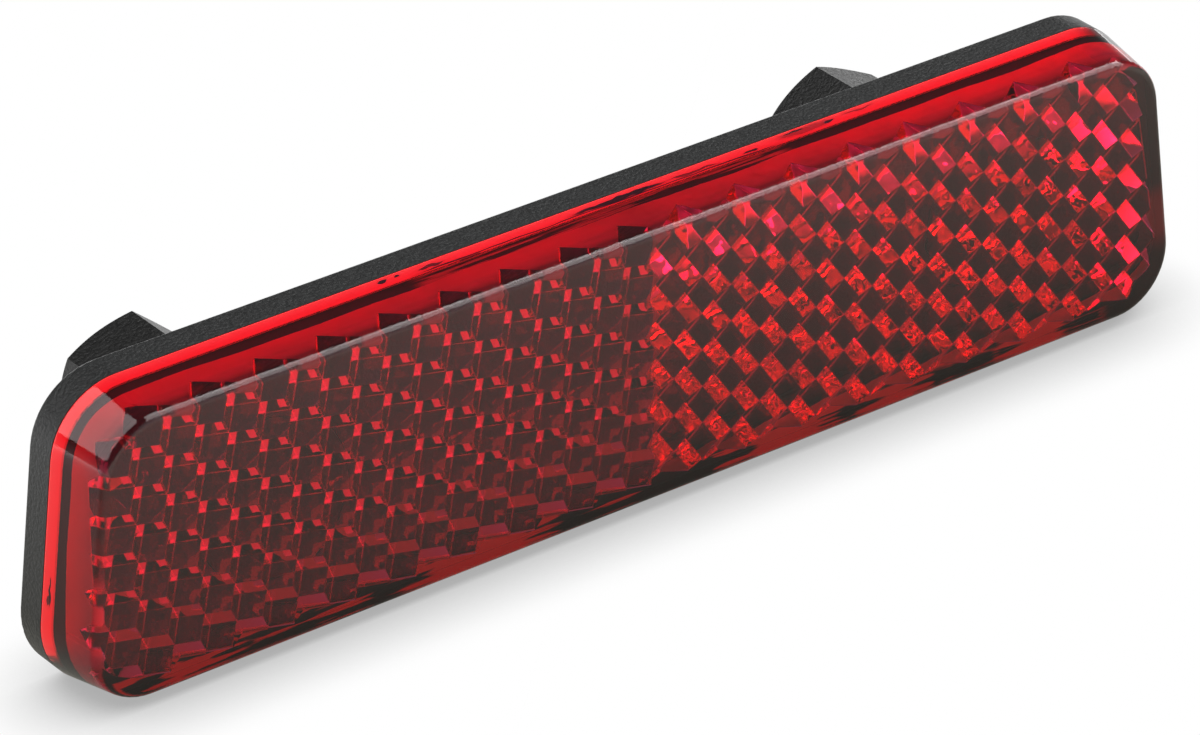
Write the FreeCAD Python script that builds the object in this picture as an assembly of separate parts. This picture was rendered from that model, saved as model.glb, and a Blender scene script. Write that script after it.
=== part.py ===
"""Rear reflector for a bicycle's luggage rack, in millimetres.

A red lens with cube-corner prisms on its inner face is welded onto a flat black back plate.
Two captive bolts stand out of the plate's back, and each carries a hexagon nut.
The origin lies on the plate's back face, midway between the bolts.
X runs along the reflector, +Y points backwards along the bolts, and Z is up.
"""
import FreeCAD, Part
import math
import os

from FreeCAD import Vector

# Outline shared by the lens and the plate: a long trapezium with rounded corners
outline_width = 76.5      # from end to end at mid-height
outline_height = 18.5
end_lean = 6.7            # degrees that each end leans inwards going up
corner_radius = 4.4

# Back plate
plate_thickness = 2.1
plate_edge_radius = 0.25

# Joint between lens and plate: a rib that locates the lens's wall, and a low weld bead at its foot
weld_gap = 0.08           # hairline between the lens's rim and the plate, outside the bead
weld_width = 0.2
rib_height = 0.75         # above the plate's front face
rib_thickness = 0.9
rib_clearance = 0.04      # from the rib to the lens's wall

# Lens
lens_depth = 4.1
lens_draft = 10.0         # degrees that the outer walls taper towards the front
lens_edge_radius = 0.45
wall_thickness = 1.42     # at the joint
cavity_draft = 2.0

# Cube-corner prisms: the two halves of the field face opposite ways
prism_pitch = 2.366       # across the flats of one hexagonal prism
window_thickness = 0.45   # from the front face to the valleys between the prisms
field_drop = 0.525        # from the middle of the lens down to the middle row

# Captive bolts, with a flat round head and a square neck
bolt_spacing = 50.0
bolt_diameter = 5.0
thread_diameter = 4.48    # mean diameter of the thread, which the nut shares
head_diameter = 10.0
head_height = 1.1
neck_width = 5.4
neck_clearance = 0.05
grip_length = 6.0         # from the plate to the nut
bolt_reach = 12.0         # from the plate to the bolt's tip
bolt_tip_chamfer = 0.6

# Hexagon nuts, each turned as it was tightened
nut_flats = 8.0
nut_height = 4.7
nut_corner_trim = 0.97    # where the end chamfer starts, as a share of the flats
nut_chamfer = 30.0
left_nut_turn = 19.5
right_nut_turn = 36.5

# Places along Y that follow from the sizes above
plate_front = -plate_thickness
lens_back = plate_front - weld_gap
lens_front = lens_back - lens_depth
prism_valley = lens_front + window_thickness

# Inset that the cavity's draft adds for each millimetre of depth
cavity_slope = math.tan(math.radians(cavity_draft))

# Geometry of one cube corner seen along its diagonal
cube_edge = prism_pitch / math.sqrt(2)
prism_depth = 2 * cube_edge / math.sqrt(3)
column_pitch = prism_pitch * math.sqrt(3) / 2
prism_tip = prism_valley + prism_depth


def rounded_trapezium(y, inset, radius):
    """Closed wire of the outline at one depth, drawn in by inset on every side."""
    lean = math.radians(end_lean)
    half_height = outline_height / 2 - inset
    half_width = outline_width / 2 - inset / math.cos(lean)
    corners = []
    for side_x, side_z in ((-1, -1), (1, -1), (1, 1), (-1, 1)):
        z = side_z * half_height
        corners.append(Vector(side_x * (half_width - z * math.tan(lean)), y, z))
    bends = []
    for index, corner in enumerate(corners):
        to_last = (corners[index - 1] - corner).normalize()
        to_next = (corners[(index + 1) % 4] - corner).normalize()
        half_angle = to_last.getAngle(to_next) / 2
        tangent = radius / math.tan(half_angle)
        bisector = (to_last + to_next).normalize()
        middle = corner + bisector * (radius / math.sin(half_angle) - radius)
        bends.append((corner + to_last * tangent, middle, corner + to_next * tangent))
    edges = []
    for index, (start, middle, end) in enumerate(bends):
        edges.append(Part.Arc(start, middle, end).toShape())
        edges.append(Part.LineSegment(end, bends[(index + 1) % 4][0]).toShape())
    return Part.Wire(edges)


def outline_slab(y_start, y_end, inset):
    """Straight slab of the outline between two depths."""
    face = Part.Face(rounded_trapezium(y_start, inset, corner_radius - inset))
    return face.extrude(Vector(0, y_end - y_start, 0))


def drafted_block(y_back, y_front, inset_back, draft):
    """Block of the outline that narrows from back to front by the draft angle."""
    inset_front = inset_back + (y_back - y_front) * math.tan(math.radians(draft))
    back = rounded_trapezium(y_back, inset_back, corner_radius - inset_back)
    front = rounded_trapezium(y_front, inset_front, corner_radius - inset_front)
    return Part.makeLoft([back, front], True, True)


def edges_at(shape, y):
    """Edges of a shape that lie wholly in the plane at one depth."""
    found = []
    for edge in shape.Edges:
        box = edge.BoundBox
        if abs(box.YMin - y) < 1e-6 and abs(box.YMax - y) < 1e-6:
            found.append(edge)
    return found


def hexagon_prism(x, y_start, y_end, flats, turn):
    """Hexagonal bar along Y, with a corner at the turn angle from +X."""
    corner = flats / math.sqrt(3)
    points = []
    for index in range(7):
        angle = math.radians(turn + 60 * index)
        points.append(Vector(x + corner * math.cos(angle), y_start, corner * math.sin(angle)))
    face = Part.Face(Part.makePolygon(points))
    return face.extrude(Vector(0, y_end - y_start, 0))


def round_bar(x, y_start, y_end, diameter):
    """Cylinder along Y."""
    return Part.makeCylinder(diameter / 2, y_end - y_start, Vector(x, y_start, 0), Vector(0, 1, 0))


def square_bar(x, y_start, y_end, width):
    """Square bar along Y, with its sides upright and level."""
    corner = Vector(x - width / 2, y_start, -width / 2)
    return Part.makeBox(width, y_end - y_start, width, corner)


def cube_corner_edges(facing):
    """The three edges of a cube that meet at a prism's tip; the first points to +X or -X."""
    edges = []
    for index in range(3):
        angle = math.radians(120 * index)
        across = cube_edge * math.sqrt(2 / 3)
        edges.append(Vector(facing * across * math.cos(angle), -cube_edge / math.sqrt(3), across * math.sin(angle)))
    return edges


def prism_tips(side):
    """Tips of the prisms on one half of the field, in columns staggered by half a pitch."""
    columns = math.ceil(outline_width / 2 / column_pitch) + 1
    rows = math.ceil(outline_height / 2 / prism_pitch) + 1
    for step in range(columns):
        column = step if side > 0 else -1 - step
        stagger = (column % 2) * prism_pitch / 2
        for row in range(-rows, rows + 1):
            x = (column + 0.5) * column_pitch
            yield Vector(x, prism_tip, stagger + row * prism_pitch - field_drop)


def prism_field(side):
    """Solid half of the field: cube corners at the back, flat at the front, upright at its rim."""
    foot = (lens_front + prism_valley) / 2
    spokes = cube_corner_edges(-side)
    faces = []
    rim = {}
    for tip in prism_tips(side):
        for index in range(3):
            first = spokes[index]
            second = spokes[(index + 1) % 3]
            corners = [tip, tip + first, tip + first + second, tip + second]
            faces.append(Part.Face(Part.makePolygon(corners + corners[:1])))
            for start, end in ((corners[1], corners[2]), (corners[2], corners[3])):
                key = frozenset((node_key(start), node_key(end)))
                if key in rim:
                    del rim[key]
                else:
                    rim[key] = (start, end)
    next_point = {}
    for start, end in rim.values():
        feet = [Vector(point.x, foot, point.z) for point in (end, start)]
        faces.append(Part.Face(Part.makePolygon([start, end] + feet + [start])))
        next_point[node_key(start)] = end
    point = next(iter(rim.values()))[0]
    outline = []
    while len(outline) <= len(rim):
        outline.append(Vector(point.x, foot, point.z))
        point = next_point[node_key(point)]
    faces.append(Part.Face(Part.makePolygon(outline)))
    shell = Part.Shell(faces)
    shell.sewShape()
    solid = Part.Solid(shell)
    if solid.Volume < 0:
        solid.reverse()
    return solid


def node_key(point):
    """Place of a corner in the field in whole steps, so that meeting corners of prisms compare as one."""
    along = 6 * point.x / column_pitch
    up = 2 * (point.z + field_drop) / prism_pitch
    deep = math.sqrt(3) * (prism_tip - point.y) / cube_edge
    return (round(along), round(up), round(deep))


def make_lens():
    """Tray-shaped lens: clear front window, prisms behind it, and walls down to the weld."""
    block = drafted_block(lens_back, lens_front, 0, lens_draft)
    block = block.makeFillet(lens_edge_radius, edges_at(block, lens_front))
    overrun = lens_depth / 4
    floor = (lens_front + 2 * prism_valley) / 3
    cavity = drafted_block(lens_back + overrun, floor, wall_thickness - overrun * cavity_slope, cavity_draft)
    hollow = cavity.cut([prism_field(-1), prism_field(1)])
    return block.cut(hollow)


def outline_ring(y_start, y_end, inset, width):
    """Straight ring that follows the outline between two depths."""
    return outline_slab(y_start, y_end, inset).cut(outline_slab(y_start, y_end, inset + width))


def make_plate():
    """Flat back plate with its weld bead and rib, and a pocketed square hole for each bolt."""
    plate = outline_slab(plate_front, 0, 0)
    plate = plate.makeFillet(plate_edge_radius, edges_at(plate, 0))
    rib_inset = wall_thickness + cavity_slope * (rib_height - weld_gap) + rib_clearance
    bead_inset = wall_thickness - weld_width
    bead = outline_ring(plate_front, lens_back, bead_inset, rib_inset + rib_thickness - bead_inset)
    rib = outline_ring(plate_front, plate_front - rib_height, rib_inset, rib_thickness)
    plate = plate.fuse([bead, rib]).removeSplitter()
    for side in (-1, 1):
        x = side * bolt_spacing / 2
        pocket = round_bar(x, plate_front, plate_front + head_height, head_diameter + 2 * neck_clearance)
        hole = square_bar(x, plate_front, 0, neck_width + 2 * neck_clearance)
        plate = plate.cut([pocket, hole])
    return plate


def make_bolt(x):
    """Captive bolt: flat round head, square neck in the plate, plain grip and threaded end."""
    head = round_bar(x, plate_front, plate_front + head_height, head_diameter)
    neck = square_bar(x, plate_front + head_height, 0, neck_width)
    grip = round_bar(x, 0, grip_length, bolt_diameter)
    thread = round_bar(x, grip_length, bolt_reach, thread_diameter)
    thread = thread.makeChamfer(bolt_tip_chamfer, edges_at(thread, bolt_reach))
    return head.fuse([neck, grip, thread]).removeSplitter()


def make_nut(x, turn):
    """Hexagon nut with its corners trimmed by a cone at both ends."""
    body = hexagon_prism(x, grip_length, grip_length + nut_height, nut_flats, turn)
    small = nut_flats * nut_corner_trim / 2
    rise = nut_height / 2
    large = small + rise / math.tan(math.radians(nut_chamfer))
    axis = Vector(0, 1, 0)
    front_cone = Part.makeCone(small, large, rise, Vector(x, grip_length, 0), axis)
    back_cone = Part.makeCone(large, small, rise, Vector(x, grip_length + rise, 0), axis)
    body = body.common(front_cone.fuse(back_cone))
    return body.cut(round_bar(x, grip_length, grip_length + nut_height, thread_diameter))


def save(name, shape):
    """Write one piece, or a group of like pieces, to its own file."""
    shape.exportStep("parts/" + name + ".step")
    print(name, len(shape.Solids), shape.isValid(), round(shape.Volume, 2))


os.makedirs("parts", exist_ok=True)
half_spacing = bolt_spacing / 2
save("lens", make_lens())
save("back_plate", make_plate())
save("bolts", Part.makeCompound([make_bolt(-half_spacing), make_bolt(half_spacing)]))
save("nuts", Part.makeCompound([make_nut(-half_spacing, left_nut_turn), make_nut(half_spacing, right_nut_turn)]))
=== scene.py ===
"""Looks of the bicycle rack reflector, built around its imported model, in metres."""
import math
from types import SimpleNamespace

import bpy
from mathutils import Matrix, Vector


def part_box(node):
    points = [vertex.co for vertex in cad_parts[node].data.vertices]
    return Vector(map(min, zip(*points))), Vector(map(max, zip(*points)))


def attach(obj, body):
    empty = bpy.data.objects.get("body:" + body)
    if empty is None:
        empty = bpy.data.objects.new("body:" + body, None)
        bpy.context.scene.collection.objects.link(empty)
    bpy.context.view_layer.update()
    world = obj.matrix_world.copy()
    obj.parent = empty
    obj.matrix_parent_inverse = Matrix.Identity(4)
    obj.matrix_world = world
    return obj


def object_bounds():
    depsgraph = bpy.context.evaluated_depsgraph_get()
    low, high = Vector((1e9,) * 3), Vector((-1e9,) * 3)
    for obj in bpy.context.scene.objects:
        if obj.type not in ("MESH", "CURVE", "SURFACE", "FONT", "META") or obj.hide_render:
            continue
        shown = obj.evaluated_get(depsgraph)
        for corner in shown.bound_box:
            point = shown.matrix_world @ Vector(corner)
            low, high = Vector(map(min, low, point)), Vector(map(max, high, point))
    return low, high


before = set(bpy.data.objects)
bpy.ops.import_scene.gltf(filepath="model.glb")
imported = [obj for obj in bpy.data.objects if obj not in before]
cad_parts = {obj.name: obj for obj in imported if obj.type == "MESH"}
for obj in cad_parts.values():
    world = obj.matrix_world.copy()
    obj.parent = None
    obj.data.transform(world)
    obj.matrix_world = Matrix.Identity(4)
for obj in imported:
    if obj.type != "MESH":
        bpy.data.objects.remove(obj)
cad_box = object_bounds()

MM = 0.001

# The photograph's frame in its own pixels, and the sensor width that stands for it
IMAGE_WIDTH = 1200
IMAGE_HEIGHT = 735
SENSOR_WIDTH = 36.0

# Camera, found from the outline's edges: angles in degrees, aimed at the middle of the lens's front
CAMERA_AZIMUTH = 37.24
CAMERA_ELEVATION = 29.42
CAMERA_ROLL = -0.25
CAMERA_DISTANCE = 398.25 * MM
CLIP_START = 10 * MM

# Focal length, and the place where the camera's target shows, both in the photograph's pixels
FOCAL_PIXELS = 7094.0
CENTRE_PIXEL_X = 657.7
CENTRE_PIXEL_Y = 366.9

# Noise: octaves for three grades of detail, its middle, and the span that it seldom leaves
SMOOTH = 1.0
PLAIN = 2.0
FINE = 3.0
NOISE_MIDDLE = (0.5, 0.5, 0.5)
NOISE_SPAN = (0.3, 0.7)

# Outline of the lens's rim at the joint
OUTLINE_WIDTH = 76.5 * MM
OUTLINE_HEIGHT = 18.5 * MM
END_LEAN = math.radians(6.7)
CORNER_RADIUS = 4.4 * MM

# How the lens's faces are told apart. The inner wall is steep, lies inside the wall's thickness and
# starts a little behind the front. The rim is the thin skin at the very back.
WALL_THICKNESS = 1.42 * MM
WALL_SLACK = 0.25 * MM
WALL_STEEPNESS = 0.3
WALL_START = 0.2 * MM
RIM_SKIN = 0.02 * MM

# Frost on the rim and the inner wall: its colour, and how rough it is
FROST_COLOUR = (1.0, 0.06, 0.06)
FROST_ROUGHNESS = 0.55

# Rim: share of the light that it scatters, how far its normal turns outwards, and a painted red
# glow that the rim gives off itself, standing in for light led to it through the wall, which fades to a
# small share on the lower side
RIM_SCATTER = 0.95
RIM_TILT = 2.5
RIM_PAINTED_GLOW = 0.75
RIM_PAINTED_GLOW_COLOUR = (1.0, 0.02, 0.025)
RIM_PAINTED_GLOW_END = (-6.9 * MM, -6.2 * MM)
RIM_PAINTED_GLOW_LOW = 0.18

# Inner wall: share of the light that its blotches scatter, less on the left than on the right,
# and fading towards the front
WALL_BLOTCH = 1.6 * MM
WALL_SCATTER = (0.45, 0.95)
WALL_SIDES = (0.48, 0.98)
WALL_SIDE_RANGE = (5.0 * MM, 22.0 * MM)
WALL_FADE = 0.05
WALL_FADE_START = 0.8 * MM

# Painted shade that darkens the upper side's inner wall close behind the front: the brightness left to
# it, the light that it scatters, the depths behind the front over which it ends, and the heights over
# which it starts
WALL_PAINTED_SHADE = 0.15
WALL_PAINTED_SHADE_SCATTER = 0.9
WALL_PAINTED_SHADE_RANGE = (1.3 * MM, 2.3 * MM)
WALL_PAINTED_SHADE_SIDE = (5.5 * MM, 7.0 * MM)

# Black weld strip at the inner wall's foot: its height in waves, a frayed edge, more height for each
# metre below the middle, and thin gaps in it along the ragged stretch
STRIP_REACH = (0.58 * MM, 0.90 * MM)
STRIP_WAVE = 9.0 * MM
STRIP_FRAY = 0.06 * MM
STRIP_FRAY_SIZE = 0.5 * MM
STRIP_SPREAD = 0.05
STRIP_THREAD = 0.35 * MM
STRIP_GAP = 0.7
STRIP_GAP_SHARE = (0.50, 0.58)

# Weld that has run over the rim: all over the right end, apart from a thinner place given by its
# middle and half its height, and in streaks along the lower side, thicker midway and at the left
COVER_LOW = (-5.6 * MM, -7.2 * MM)
COVER_RIGHT = (33.5 * MM, 35.5 * MM)
COVER_RIGHT_GAP = (-4.0 * MM, 2.2 * MM)
COVER_RIGHT_THIN = 0.94
STREAK_LENGTH = 7.0 * MM
STREAK_WIDTH = 0.7 * MM
STREAK_SHARE = (0.49, 0.54)
STREAK_MORE = 0.09
STREAK_MIDDLE = (-9.0 * MM, 12.0 * MM)
STREAK_CORNER = (-30.5 * MM, -33.5 * MM)

# Thin weld line that wanders along the upper rim, on the stretch where the weld is ragged
LINE_INSET = 1.06 * MM
LINE_WANDER = 0.5 * MM
LINE_WAVE = 4.0 * MM
LINE_WIDTH = 0.14 * MM
LINE_WIDTH_WAVE = 2.5 * MM
LINE_SOFT = 0.07 * MM
LINE_ENDS = (-14.5 * MM, 12.5 * MM)
LINE_EASE = 2.0 * MM

# Weld smudges on the rim: x, z, half length and half height in millimetres, and strength
WELD_MARKS = (
    (-15.8, 8.8, 0.35, 0.20, 1.0),
    (-14.8, 8.8, 0.20, 0.20, 1.0),
    (-12.6, 8.6, 1.00, 0.24, 0.9),
    (-9.9, 8.0, 0.80, 0.14, 0.7),
    (0.4, 8.5, 3.60, 0.30, 1.0),
    (5.6, 8.5, 2.00, 0.16, 0.8),
    (9.7, 8.45, 0.60, 0.15, 1.0),
    (13.6, 8.75, 2.20, 0.42, 0.55),
    (12.9, 8.95, 0.90, 0.15, 1.0),
    (15.4, 8.70, 0.50, 0.16, 1.0),
    (17.5, 8.80, 1.20, 0.12, 0.6),
    (-37.75, -2.6, 0.14, 1.10, 1.0),
    (-37.95, -3.1, 0.22, 0.35, 0.9),
    (-37.1, -7.7, 1.30, 1.10, 0.85),
)
MARK_EDGE = (1.1, 0.7)    # from outside to full strength, as shares of the half sizes
MARK_FRAY = 0.55 * MM
MARK_GRAIN = 0.9 * MM

# Lens plastic: what it lets through, with its density per metre, and its softened edges
LENS_IOR = 1.49
LENS_ABSORPTION_COLOUR = (0.996, 0.0, 0.43)
LENS_ABSORPTION_DENSITY = 1150.0
EDGE_RADIUS = 0.12 * MM
EDGE_SAMPLES = 2

# Faint ripple of the prisms' faces: its strength on the left and right halves, the seam between
# them, the size of its swells, and the depth behind the front where it starts
RIPPLE = (0.02, 0.11)
RIPPLE_SEAM = 1.0 * MM
RIPPLE_SIZE = 0.9 * MM
RIPPLE_START = 0.35 * MM

# Grain of the moulded plate and of the fasteners' coating
PLATE_COLOUR = (0.004, 0.0045, 0.0045)
PLATE_ROUGHNESS = 0.42
PLATE_SPECULAR = 0.65
PLATE_GRAIN = 0.2 * MM
STEEL_COLOUR = (0.003, 0.003, 0.0027)
STEEL_ROUGHNESS = 0.38
STEEL_SPECULAR = 0.5
STEEL_GRAIN = 0.22 * MM
GRAIN_HEIGHT = 0.06 * MM
GRAIN_TONE = (0.5, 1.5)
GRAIN_ROUGHNESS = 0.08

# Thread that shows on each bolt's end behind its nut
BOLT_SPACING = 50.0 * MM
THREAD_PITCH = 0.8 * MM
THREAD_CREST = 2.5 * MM
THREAD_ROOT = 2.12 * MM
THREAD_FLANK = 0.36 * MM
THREAD_FLAT = 0.06 * MM
THREAD_HIDDEN = 0.6 * MM
THREAD_STOP = 0.4 * MM
THREAD_TAPER = 0.75 * MM
THREAD_STEPS = 40
THREAD_CORNERS = 4

# Light panels: name, direction from the object, direction of the length, size in metres, radiance
PANEL_DISTANCE = 0.6
PANELS = (
    ("key", (0.544, -0.289, 0.788), (1.0, 0.0, 0.0), (0.56, 0.56), 3.4),
    ("top", (0.50, 0.17, 0.85), (1.0, 0.0, 0.0), (0.5, 0.2), 4.2),
    ("side", (-0.577, 0.347, 0.740), (-0.79, -0.01, -0.613), (0.77, 0.264), 2.5),
)

# Surroundings: even base, a brighter horizon and a wide bright patch in front on the right
STUDIO_COLOUR = (1.0, 1.0, 1.0, 1.0)
BASE_RADIANCE = 0.14
HORIZON_RADIANCE = 0.30
HORIZON_SPREAD = 0.26
PATCH_RADIANCE = 0.8
PATCH_DIRECTION = (0.602, -0.771, 0.208)
PATCH_INNER = math.cos(math.radians(12))
PATCH_OUTER = math.cos(math.radians(50))

# White table under the reflector: evenly bright to the eye, while the light that it gives falls
# towards the reflector from the front and the back, and is warm in front
FLOOR_SIZE = 3.0
FLOOR_GAP = 0.05 * MM
TABLE_SEEN = 1.0
TABLE_TINT = (1.0, 0.98, 0.86)
TABLE_TINT_END = (-6 * MM, 30 * MM)
TABLE_FRONT = (1.30, 0.46)
TABLE_FRONT_SWEEP = (-60 * MM, -6 * MM)
TABLE_BACK = (0.0, 1.95)
TABLE_BACK_SWEEP = (-8 * MM, 200 * MM)

# Soft shadow on the table where the reflector stands
SHADOW_REACH = 6.0 * MM
SHADOW_RANGE = (0.25, 0.95)
SHADOW_DEPTH = 0.42

# Light passes through many faces between the prisms
BOUNCES = 20


def new_material(name):
    """Empty node material, with its node tree and its output node."""
    material = bpy.data.materials.new(name)
    material.use_nodes = True
    tree = material.node_tree
    tree.nodes.clear()
    output = tree.nodes.new("ShaderNodeOutputMaterial")
    return material, tree, output


def feed(tree, socket, value):
    """Set an input to a number or fixed vector, or link another node's output to it."""
    if isinstance(value, bpy.types.NodeSocket):
        tree.links.new(value, socket)
    else:
        socket.default_value = value


def add_node(tree, kind, inputs):
    """New node of a kind, with the named inputs fed."""
    node = tree.nodes.new(kind)
    for name, value in inputs.items():
        feed(tree, node.inputs[name], value)
    return node


def calculate(tree, operation, *values):
    """Math node on numbers or other nodes' outputs; gives back its result."""
    node = tree.nodes.new("ShaderNodeMath")
    node.operation = operation
    for socket, value in zip(node.inputs, values):
        feed(tree, socket, value)
    return node.outputs["Value"]


def product(tree, first, *others):
    """All the values multiplied together."""
    for other in others:
        first = calculate(tree, "MULTIPLY", first, other)
    return first


def largest(tree, first, *others):
    """The largest of the values."""
    for other in others:
        first = calculate(tree, "MAXIMUM", first, other)
    return first


def invert(tree, value):
    """One less the value."""
    return calculate(tree, "SUBTRACT", 1.0, value)


def vector_math(tree, operation, *values):
    """Vector math node on fixed vectors or other nodes' outputs; gives back its result."""
    node = tree.nodes.new("ShaderNodeVectorMath")
    node.operation = operation
    for socket, value in zip(node.inputs, values):
        feed(tree, socket, value)
    return node.outputs["Value" if operation in ("LENGTH", "DOT_PRODUCT") else "Vector"]


def join_axes(tree, x, y, z):
    """Vector from three numbers or other nodes' outputs."""
    return add_node(tree, "ShaderNodeCombineXYZ", {"X": x, "Y": y, "Z": z}).outputs["Vector"]


def split_axes(tree, vector):
    """The three parts of a vector."""
    node = add_node(tree, "ShaderNodeSeparateXYZ", {"Vector": vector})
    return [node.outputs[axis] for axis in "XYZ"]


def object_place(tree):
    """Place of the shaded point in its object's own axes."""
    return tree.nodes.new("ShaderNodeTexCoord").outputs["Object"]


def spread(tree, value, low, high, start=0.0, end=1.0):
    """Map a value from low..high onto start..end, held at the ends."""
    inputs = {"Value": value, "From Min": low, "From Max": high, "To Min": start, "To Max": end}
    return add_node(tree, "ShaderNodeMapRange", inputs).outputs["Result"]


def smooth_step(tree, value, low, high):
    """Ease from nought at low to one at high."""
    result = spread(tree, value, low, high)
    result.node.interpolation_type = "SMOOTHSTEP"
    return result


def stretch(tree, value, ends, ease):
    """One between two ends, easing in from each of them over a length."""
    after_start = smooth_step(tree, value, ends[0], ends[0] + ease)
    before_end = smooth_step(tree, value, ends[1], ends[1] - ease)
    return product(tree, after_start, before_end)


def noise_node(tree, vector, size, detail):
    """Seamless noise with features of one size."""
    inputs = {"Vector": vector, "Scale": 1.0 / size, "Detail": detail}
    return add_node(tree, "ShaderNodeTexNoise", inputs)


def noise(tree, vector, size, detail):
    """Noise between nought and one."""
    return noise_node(tree, vector, size, detail).outputs["Fac"]


def wander(tree, vector, size):
    """Smooth noise about nought along each axis."""
    colour = noise_node(tree, vector, size, SMOOTH).outputs["Color"]
    return vector_math(tree, "SUBTRACT", colour, NOISE_MIDDLE)


def outline_nodes(tree, x, z):
    """How far a point lies inside the rim's outline, and the direction straight out of it."""
    to_side = calculate(tree, "SUBTRACT", OUTLINE_HEIGHT / 2, calculate(tree, "ABSOLUTE", z))
    from_middle = calculate(tree, "SUBTRACT", OUTLINE_WIDTH / 2, calculate(tree, "ABSOLUTE", x))
    upright = product(tree, from_middle, math.cos(END_LEAN))
    to_end = calculate(tree, "SUBTRACT", upright, product(tree, z, math.sin(END_LEAN)))
    reaches = []
    signed = []
    for distance, place in ((to_end, x), (to_side, z)):
        reach = largest(tree, calculate(tree, "SUBTRACT", CORNER_RADIUS, distance), 0.0)
        reaches.append(reach)
        signed.append(product(tree, reach, calculate(tree, "SIGN", place)))
    radius = vector_math(tree, "LENGTH", join_axes(tree, reaches[0], 0.0, reaches[1]))
    inset = calculate(tree, "SUBTRACT", CORNER_RADIUS, radius)
    outward = vector_math(tree, "NORMALIZE", join_axes(tree, signed[0], 0.0, signed[1]))
    return inset, outward


def lens_place(tree):
    """Where a point of the lens lies, and which of the lens's faces it lies on."""
    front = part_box("lens")[0].y
    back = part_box("lens")[1].y
    vector = object_place(tree)
    x, y, z = split_axes(tree, vector)
    inset, outward = outline_nodes(tree, x, z)
    geometry = tree.nodes.new("ShaderNodeNewGeometry")
    facing = split_axes(tree, geometry.outputs["True Normal"])[1]
    steep = calculate(tree, "LESS_THAN", calculate(tree, "ABSOLUTE", facing), WALL_STEEPNESS)
    inner = calculate(tree, "GREATER_THAN", inset, WALL_THICKNESS - WALL_SLACK)
    deep = calculate(tree, "GREATER_THAN", y, front + WALL_START)
    behind = calculate(tree, "GREATER_THAN", y, front + RIPPLE_START)
    wall = product(tree, steep, inner, deep)
    rim = calculate(tree, "GREATER_THAN", y, back - RIM_SKIN)
    prisms = product(tree, inner, behind)
    return SimpleNamespace(front=front, back=back, vector=vector, x=x, y=y, z=z,
                           inset=inset, outward=outward, wall=wall, rim=rim, prisms=prisms)


def strip_nodes(tree, at, ragged):
    """How black the weld strip is at the foot of the inner wall."""
    reach = spread(tree, noise(tree, at.vector, STRIP_WAVE, SMOOTH), *NOISE_SPAN, *STRIP_REACH)
    lower = largest(tree, product(tree, at.z, -STRIP_SPREAD), 0.0)
    reach = calculate(tree, "ADD", reach, lower)
    fray = product(tree, noise(tree, at.vector, STRIP_FRAY_SIZE, SMOOTH), STRIP_FRAY)
    height = calculate(tree, "SUBTRACT", at.back, calculate(tree, "ADD", at.y, fray))
    strip = product(tree, calculate(tree, "LESS_THAN", height, reach), at.wall)
    threads = vector_math(tree, "MULTIPLY", at.vector, (1.0, STRIP_WAVE / STRIP_THREAD, 1.0))
    gaps = smooth_step(tree, noise(tree, threads, STRIP_WAVE, FINE), *STRIP_GAP_SHARE)
    return product(tree, strip, invert(tree, product(tree, gaps, ragged, STRIP_GAP)))


def line_nodes(tree, at):
    """One on a thin weld line that wanders along the middle of the rim."""
    sway = product(tree, noise(tree, at.vector, LINE_WAVE, PLAIN), LINE_WANDER)
    place = calculate(tree, "ADD", at.inset, sway)
    away = calculate(tree, "SUBTRACT", place, LINE_INSET + LINE_WANDER / 2)
    width = product(tree, noise(tree, at.vector, LINE_WIDTH_WAVE, PLAIN), LINE_WIDTH)
    depth = calculate(tree, "SUBTRACT", width, calculate(tree, "ABSOLUTE", away))
    return smooth_step(tree, depth, -LINE_SOFT, LINE_SOFT)


def mark_nodes(tree, at):
    """How black the smudges are that the weld left on the rim, with frayed edges."""
    fray = wander(tree, at.vector, MARK_GRAIN)
    fray = vector_math(tree, "MULTIPLY", fray, (MARK_FRAY, 0.0, MARK_FRAY))
    frayed = vector_math(tree, "ADD", at.vector, fray)
    darkest = 0.0
    for x, z, half_length, half_height, strength in WELD_MARKS:
        offset = vector_math(tree, "SUBTRACT", frayed, (x * MM, 0.0, z * MM))
        shape = (1 / (half_length * MM), 0.0, 1 / (half_height * MM))
        distance = vector_math(tree, "LENGTH", vector_math(tree, "MULTIPLY", offset, shape))
        mark = product(tree, smooth_step(tree, distance, *MARK_EDGE), strength)
        darkest = largest(tree, mark, darkest)
    return darkest


def cover_nodes(tree, at):
    """How black the rim is where the weld has run over it: the right end, and the lower side."""
    shape = (1.0, 0.0, STREAK_LENGTH / STREAK_WIDTH)
    streaks = noise(tree, vector_math(tree, "MULTIPLY", at.vector, shape), STREAK_LENGTH, FINE)
    midway = stretch(tree, at.x, STREAK_MIDDLE, STREAK_LENGTH)
    thick = largest(tree, midway, smooth_step(tree, at.x, *STREAK_CORNER))
    streaks = calculate(tree, "ADD", streaks, product(tree, thick, STREAK_MORE))
    lower_side = smooth_step(tree, at.z, *COVER_LOW)
    low = product(tree, smooth_step(tree, streaks, *STREAK_SHARE), lower_side)
    gap_middle, gap_half = COVER_RIGHT_GAP
    from_gap = calculate(tree, "ABSOLUTE", calculate(tree, "SUBTRACT", at.z, gap_middle))
    thin = spread(tree, from_gap, gap_half / 2, gap_half, COVER_RIGHT_THIN, 1.0)
    right = product(tree, smooth_step(tree, at.x, *COVER_RIGHT), thin)
    return largest(tree, low, right)


def weld_nodes(tree, at):
    """How black the weld is: its strip on the inner wall, and its stains on the rim."""
    upper = calculate(tree, "GREATER_THAN", at.z, 0.0)
    ragged = product(tree, stretch(tree, at.x, LINE_ENDS, LINE_EASE), upper)
    strip = strip_nodes(tree, at, ragged)
    line = product(tree, line_nodes(tree, at), ragged)
    stain = largest(tree, mark_nodes(tree, at), line, cover_nodes(tree, at))
    return largest(tree, strip, product(tree, stain, at.rim))


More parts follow.
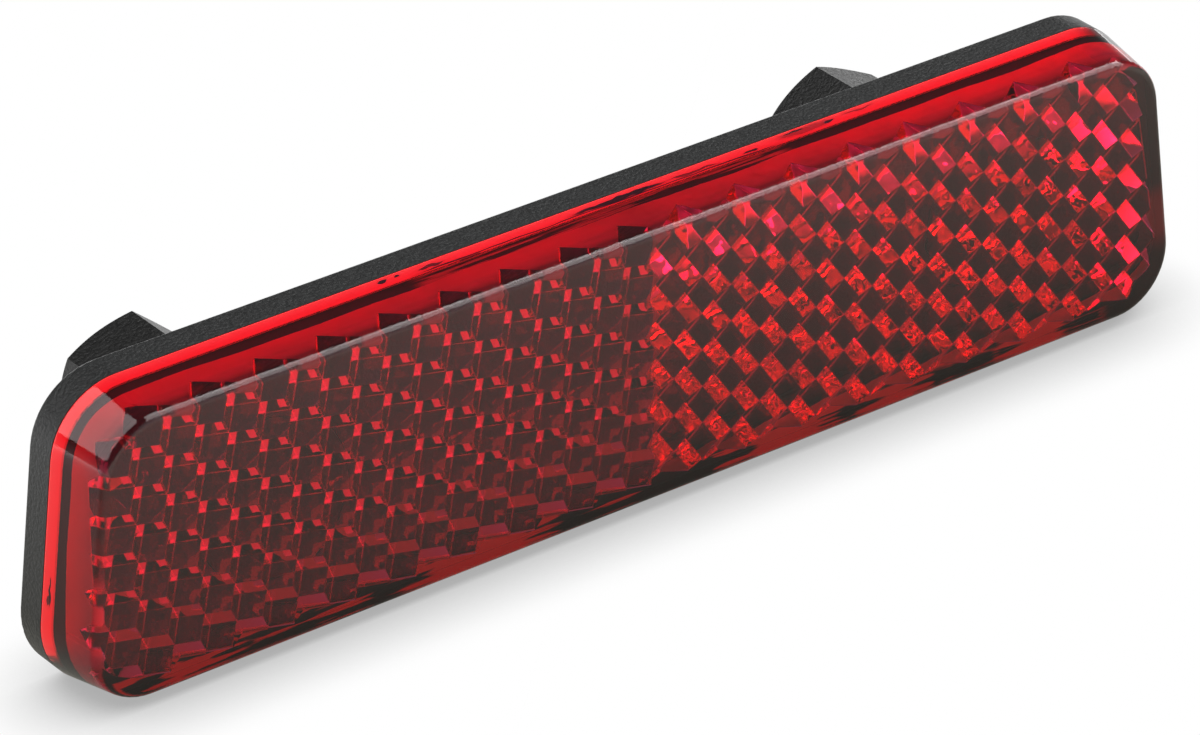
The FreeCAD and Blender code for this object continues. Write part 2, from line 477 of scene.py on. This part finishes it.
def painted_shade_nodes(tree, at):
    """One where shade is painted: the upper side's inner wall close behind the front."""
    depths = [at.front + depth for depth in WALL_PAINTED_SHADE_RANGE]
    close = spread(tree, at.y, *depths, 1.0, 0.0)
    return product(tree, at.wall, close, smooth_step(tree, at.z, *WALL_PAINTED_SHADE_SIDE))


def scatter_nodes(tree, at, painted_shade):
    """Share of the light that the frosted rim and inner wall scatter."""
    blotch = spread(tree, noise(tree, at.vector, WALL_BLOTCH, PLAIN), *NOISE_SPAN, *WALL_SCATTER)
    fade = spread(tree, at.y, at.front + WALL_FADE_START, at.back - WALL_FADE_START, WALL_FADE, 1.0)
    sides = spread(tree, at.x, *WALL_SIDE_RANGE, *WALL_SIDES)
    on_wall = product(tree, blotch, fade, sides, at.wall)
    on_rim = product(tree, at.rim, RIM_SCATTER)
    return largest(tree, on_wall, on_rim, product(tree, painted_shade, WALL_PAINTED_SHADE_SCATTER))


def normal_nodes(tree, at):
    """Normal with softened edges, turned outwards on the rim and rippled on the prisms."""
    bevel = add_node(tree, "ShaderNodeBevel", {"Radius": EDGE_RADIUS})
    bevel.samples = EDGE_SAMPLES
    lean = product(tree, at.rim, RIM_TILT)
    turned = vector_math(tree, "MULTIPLY", at.outward, join_axes(tree, lean, 0.0, lean))
    tilt = product(tree, at.prisms, spread(tree, at.x, -RIPPLE_SEAM, RIPPLE_SEAM, *RIPPLE))
    swell = wander(tree, at.vector, RIPPLE_SIZE)
    ripple = vector_math(tree, "MULTIPLY", swell, join_axes(tree, tilt, tilt, tilt))
    bent = vector_math(tree, "ADD", bevel.outputs["Normal"], turned)
    return vector_math(tree, "NORMALIZE", vector_math(tree, "ADD", bent, ripple))


def lens_material():
    """Clear red plastic, frosted on its rim and inner wall, with the black weld showing through it, a
    painted red glow given off by its rim, and painted shade on the upper inner wall close behind the
    front.
    """
    material, tree, output = new_material("red_lens")
    at = lens_place(tree)
    weld = weld_nodes(tree, at)
    # Painted shade on the upper side's inner wall close behind the front
    painted_shade = painted_shade_nodes(tree, at)
    scatter = scatter_nodes(tree, at, painted_shade)
    frost = largest(tree, at.wall, at.rim)
    bare = invert(tree, weld)
    # Brightness left after the black weld and the painted shade on the upper inner wall
    lit = product(tree, bare, invert(tree, product(tree, painted_shade, 1.0 - WALL_PAINTED_SHADE)))
    tint = [product(tree, lit, spread(tree, frost, 0.0, 1.0, 1.0, share)) for share in FROST_COLOUR]
    # Painted glow: share of the red light that the rim gives off itself, less of it on the lower side
    painted_glow_share = largest(tree, smooth_step(tree, at.z, *RIM_PAINTED_GLOW_END), RIM_PAINTED_GLOW_LOW)
    shader = add_node(tree, "ShaderNodeBsdfPrincipled", {
        "Base Color": join_axes(tree, *tint),
        "Roughness": product(tree, frost, FROST_ROUGHNESS),
        "IOR": LENS_IOR,
        "Transmission Weight": invert(tree, largest(tree, scatter, weld)),
        # Painted glow: the rim gives off red light of its own
        "Emission Color": (*RIM_PAINTED_GLOW_COLOUR, 1.0),
        "Emission Strength": product(tree, at.rim, bare, RIM_PAINTED_GLOW, painted_glow_share),
        "Normal": normal_nodes(tree, at),
    })
    absorption = add_node(tree, "ShaderNodeVolumeAbsorption", {
        "Color": (*LENS_ABSORPTION_COLOUR, 1.0),
        "Density": LENS_ABSORPTION_DENSITY,
    })
    tree.links.new(shader.outputs["BSDF"], output.inputs["Surface"])
    tree.links.new(absorption.outputs["Volume"], output.inputs["Volume"])
    return material


def black_material(name, colour, roughness, specular, grain):
    """Satin black with a fine grain that breaks up its shade and its gloss."""
    material, tree, output = new_material(name)
    fine = noise(tree, object_place(tree), grain, FINE)
    tone = spread(tree, fine, *NOISE_SPAN, *GRAIN_TONE)
    smoothest = roughness - GRAIN_ROUGHNESS
    roughest = roughness + GRAIN_ROUGHNESS
    bump = add_node(tree, "ShaderNodeBump", {"Distance": GRAIN_HEIGHT, "Height": fine})
    shader = add_node(tree, "ShaderNodeBsdfPrincipled", {
        "Base Color": vector_math(tree, "MULTIPLY", join_axes(tree, tone, tone, tone), colour),
        "Roughness": spread(tree, fine, *NOISE_SPAN, smoothest, roughest),
        "Specular IOR Level": specular,
        "Normal": bump.outputs["Normal"],
    })
    tree.links.new(shader.outputs["BSDF"], output.inputs["Surface"])
    return material


def table_material():
    """Glow of the white table, shaded softly where the reflector stands."""
    material, tree, output = new_material("floor")
    y = split_axes(tree, object_place(tree))[1]
    front = spread(tree, y, *TABLE_FRONT_SWEEP, *TABLE_FRONT)
    back = spread(tree, y, *TABLE_BACK_SWEEP, *TABLE_BACK)
    sweep = calculate(tree, "ADD", front, back)
    seen = tree.nodes.new("ShaderNodeLightPath").outputs["Is Camera Ray"]
    change = product(tree, seen, calculate(tree, "SUBTRACT", TABLE_SEEN, sweep))
    glow = calculate(tree, "ADD", sweep, change)
    shadow = add_node(tree, "ShaderNodeAmbientOcclusion", {"Distance": SHADOW_REACH})
    shade = spread(tree, shadow.outputs["AO"], *SHADOW_RANGE, SHADOW_DEPTH, 1.0)
    white = largest(tree, seen, smooth_step(tree, y, *TABLE_TINT_END))
    tint = [spread(tree, white, 0.0, 1.0, share, 1.0) for share in TABLE_TINT]
    shader = add_node(tree, "ShaderNodeEmission", {
        "Color": join_axes(tree, *tint),
        "Strength": product(tree, glow, shade),
    })
    tree.links.new(shader.outputs["Emission"], output.inputs["Surface"])
    return material


def dress(node, material):
    """Give a node of the frame one material all over."""
    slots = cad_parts[node].data.materials
    slots.clear()
    slots.append(material)


def add_thread(name, x, material):
    """Helical ridge round one bolt's end, from inside the nut to the tip's chamfer."""
    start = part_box("nuts")[1].y - THREAD_HIDDEN
    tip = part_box("bolts")[1].y
    steps = round((tip - THREAD_STOP - start) / THREAD_PITCH * THREAD_STEPS)
    points = []
    for step in range(steps + 1):
        angle = 2 * math.pi * step / THREAD_STEPS
        y = start + THREAD_PITCH * step / THREAD_STEPS
        crest = min(THREAD_CREST, THREAD_CREST - THREAD_TAPER + tip - y)
        crest = max(crest, THREAD_ROOT)
        for along, radius in ((-THREAD_FLANK, THREAD_ROOT), (-THREAD_FLAT, crest),
                              (THREAD_FLAT, crest), (THREAD_FLANK, THREAD_ROOT)):
            points.append((x + radius * math.cos(angle), y + along, radius * math.sin(angle)))
    faces = [tuple(reversed(range(THREAD_CORNERS)))]
    for step in range(steps):
        base = THREAD_CORNERS * step
        above = base + THREAD_CORNERS
        for index in range(THREAD_CORNERS):
            after = (index + 1) % THREAD_CORNERS
            faces.append((base + index, base + after, above + after, above + index))
    last = THREAD_CORNERS * steps
    faces.append(tuple(range(last, last + THREAD_CORNERS)))
    mesh = bpy.data.meshes.new(name)
    mesh.from_pydata(points, [], faces)
    mesh.materials.append(material)
    thread = bpy.data.objects.new(name, mesh)
    bpy.context.scene.collection.objects.link(thread)
    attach(thread, "root")


def add_camera():
    """Camera at the photograph's viewing angle and framing."""
    azimuth = math.radians(CAMERA_AZIMUTH)
    elevation = math.radians(CAMERA_ELEVATION)
    roll = math.radians(CAMERA_ROLL)
    lens_low, lens_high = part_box("lens")
    target = Vector((0.0, lens_low.y, (lens_low.z + lens_high.z) / 2))
    level = math.cos(elevation)
    back = Vector((-math.sin(azimuth) * level, -math.cos(azimuth) * level, math.sin(elevation)))
    right = Vector((math.cos(azimuth), -math.sin(azimuth), 0.0))
    up = back.cross(right)
    side = right * math.cos(roll) + up * math.sin(roll)
    top = up * math.cos(roll) - right * math.sin(roll)
    camera = bpy.data.cameras.new("camera")
    camera.sensor_width = SENSOR_WIDTH
    camera.sensor_fit = "HORIZONTAL"
    camera.lens = FOCAL_PIXELS * SENSOR_WIDTH / IMAGE_WIDTH
    camera.shift_x = (IMAGE_WIDTH / 2 - CENTRE_PIXEL_X) / IMAGE_WIDTH
    camera.shift_y = (CENTRE_PIXEL_Y - IMAGE_HEIGHT / 2) / IMAGE_WIDTH
    camera.clip_start = CLIP_START
    holder = bpy.data.objects.new("camera", camera)
    turn = Matrix((side, top, back)).transposed().to_4x4()
    holder.matrix_world = Matrix.Translation(target + back * CAMERA_DISTANCE) @ turn
    bpy.context.scene.collection.objects.link(holder)
    bpy.context.scene.camera = holder


def add_floor():
    """Wide level table just under the reflector's lower edge."""
    half = FLOOR_SIZE / 2
    height = cad_box[0].z - FLOOR_GAP
    corners = [(-half, -half, height), (half, -half, height), (half, half, height), (-half, half, height)]
    mesh = bpy.data.meshes.new("floor")
    mesh.from_pydata(corners, [], [(0, 1, 2, 3)])
    mesh.materials.append(table_material())
    floor = bpy.data.objects.new("floor", mesh)
    bpy.context.scene.collection.objects.link(floor)


def add_world():
    """Dim studio with a brighter horizon and a wide bright patch in front on the right."""
    world = bpy.data.worlds.new("studio")
    world.use_nodes = True
    tree = world.node_tree
    direction = tree.nodes.new("ShaderNodeTexCoord").outputs["Generated"]
    height = calculate(tree, "ABSOLUTE", split_axes(tree, direction)[2])
    horizon = product(tree, smooth_step(tree, height, HORIZON_SPREAD, 0.0), HORIZON_RADIANCE)
    likeness = vector_math(tree, "DOT_PRODUCT", direction, PATCH_DIRECTION)
    patch = product(tree, smooth_step(tree, likeness, PATCH_OUTER, PATCH_INNER), PATCH_RADIANCE)
    total = calculate(tree, "ADD", calculate(tree, "ADD", horizon, patch), BASE_RADIANCE)
    background = tree.nodes["Background"]
    feed(tree, background.inputs["Strength"], total)
    feed(tree, background.inputs["Color"], STUDIO_COLOUR)
    bpy.context.scene.world = world


def add_panel(name, direction, long_axis, size, radiance):
    """Soft light panel in a direction from the object, facing it, with its length along an axis."""
    light = bpy.data.lights.new(name, "AREA")
    light.shape = "RECTANGLE"
    light.size, light.size_y = size
    light.energy = radiance * math.pi * size[0] * size[1]
    holder = bpy.data.objects.new(name, light)
    away = Vector(direction).normalized()
    across = away.cross(Vector(long_axis)).normalized()
    along = across.cross(away)
    turn = Matrix((along, across, away)).transposed().to_4x4()
    holder.matrix_world = Matrix.Translation(away * PANEL_DISTANCE) @ turn
    bpy.context.scene.collection.objects.link(holder)


dress("lens", lens_material())
plastic = black_material("black_plastic", PLATE_COLOUR, PLATE_ROUGHNESS, PLATE_SPECULAR, PLATE_GRAIN)
steel = black_material("black_steel", STEEL_COLOUR, STEEL_ROUGHNESS, STEEL_SPECULAR, STEEL_GRAIN)
dress("back_plate", plastic)
dress("bolts", steel)
dress("nuts", steel)
for side, name in ((-1, "left_thread"), (1, "right_thread")):
    add_thread(name, side * BOLT_SPACING / 2, steel)

add_camera()
add_floor()
add_world()
for panel in PANELS:
    add_panel(*panel)

scene = bpy.context.scene
scene.view_settings.view_transform = "Standard"
scene.cycles.max_bounces = BOUNCES
scene.cycles.transmission_bounces = BOUNCES
scene.cycles.glossy_bounces = BOUNCES
scene.cycles.caustics_reflective = True
scene.cycles.caustics_refractive = True
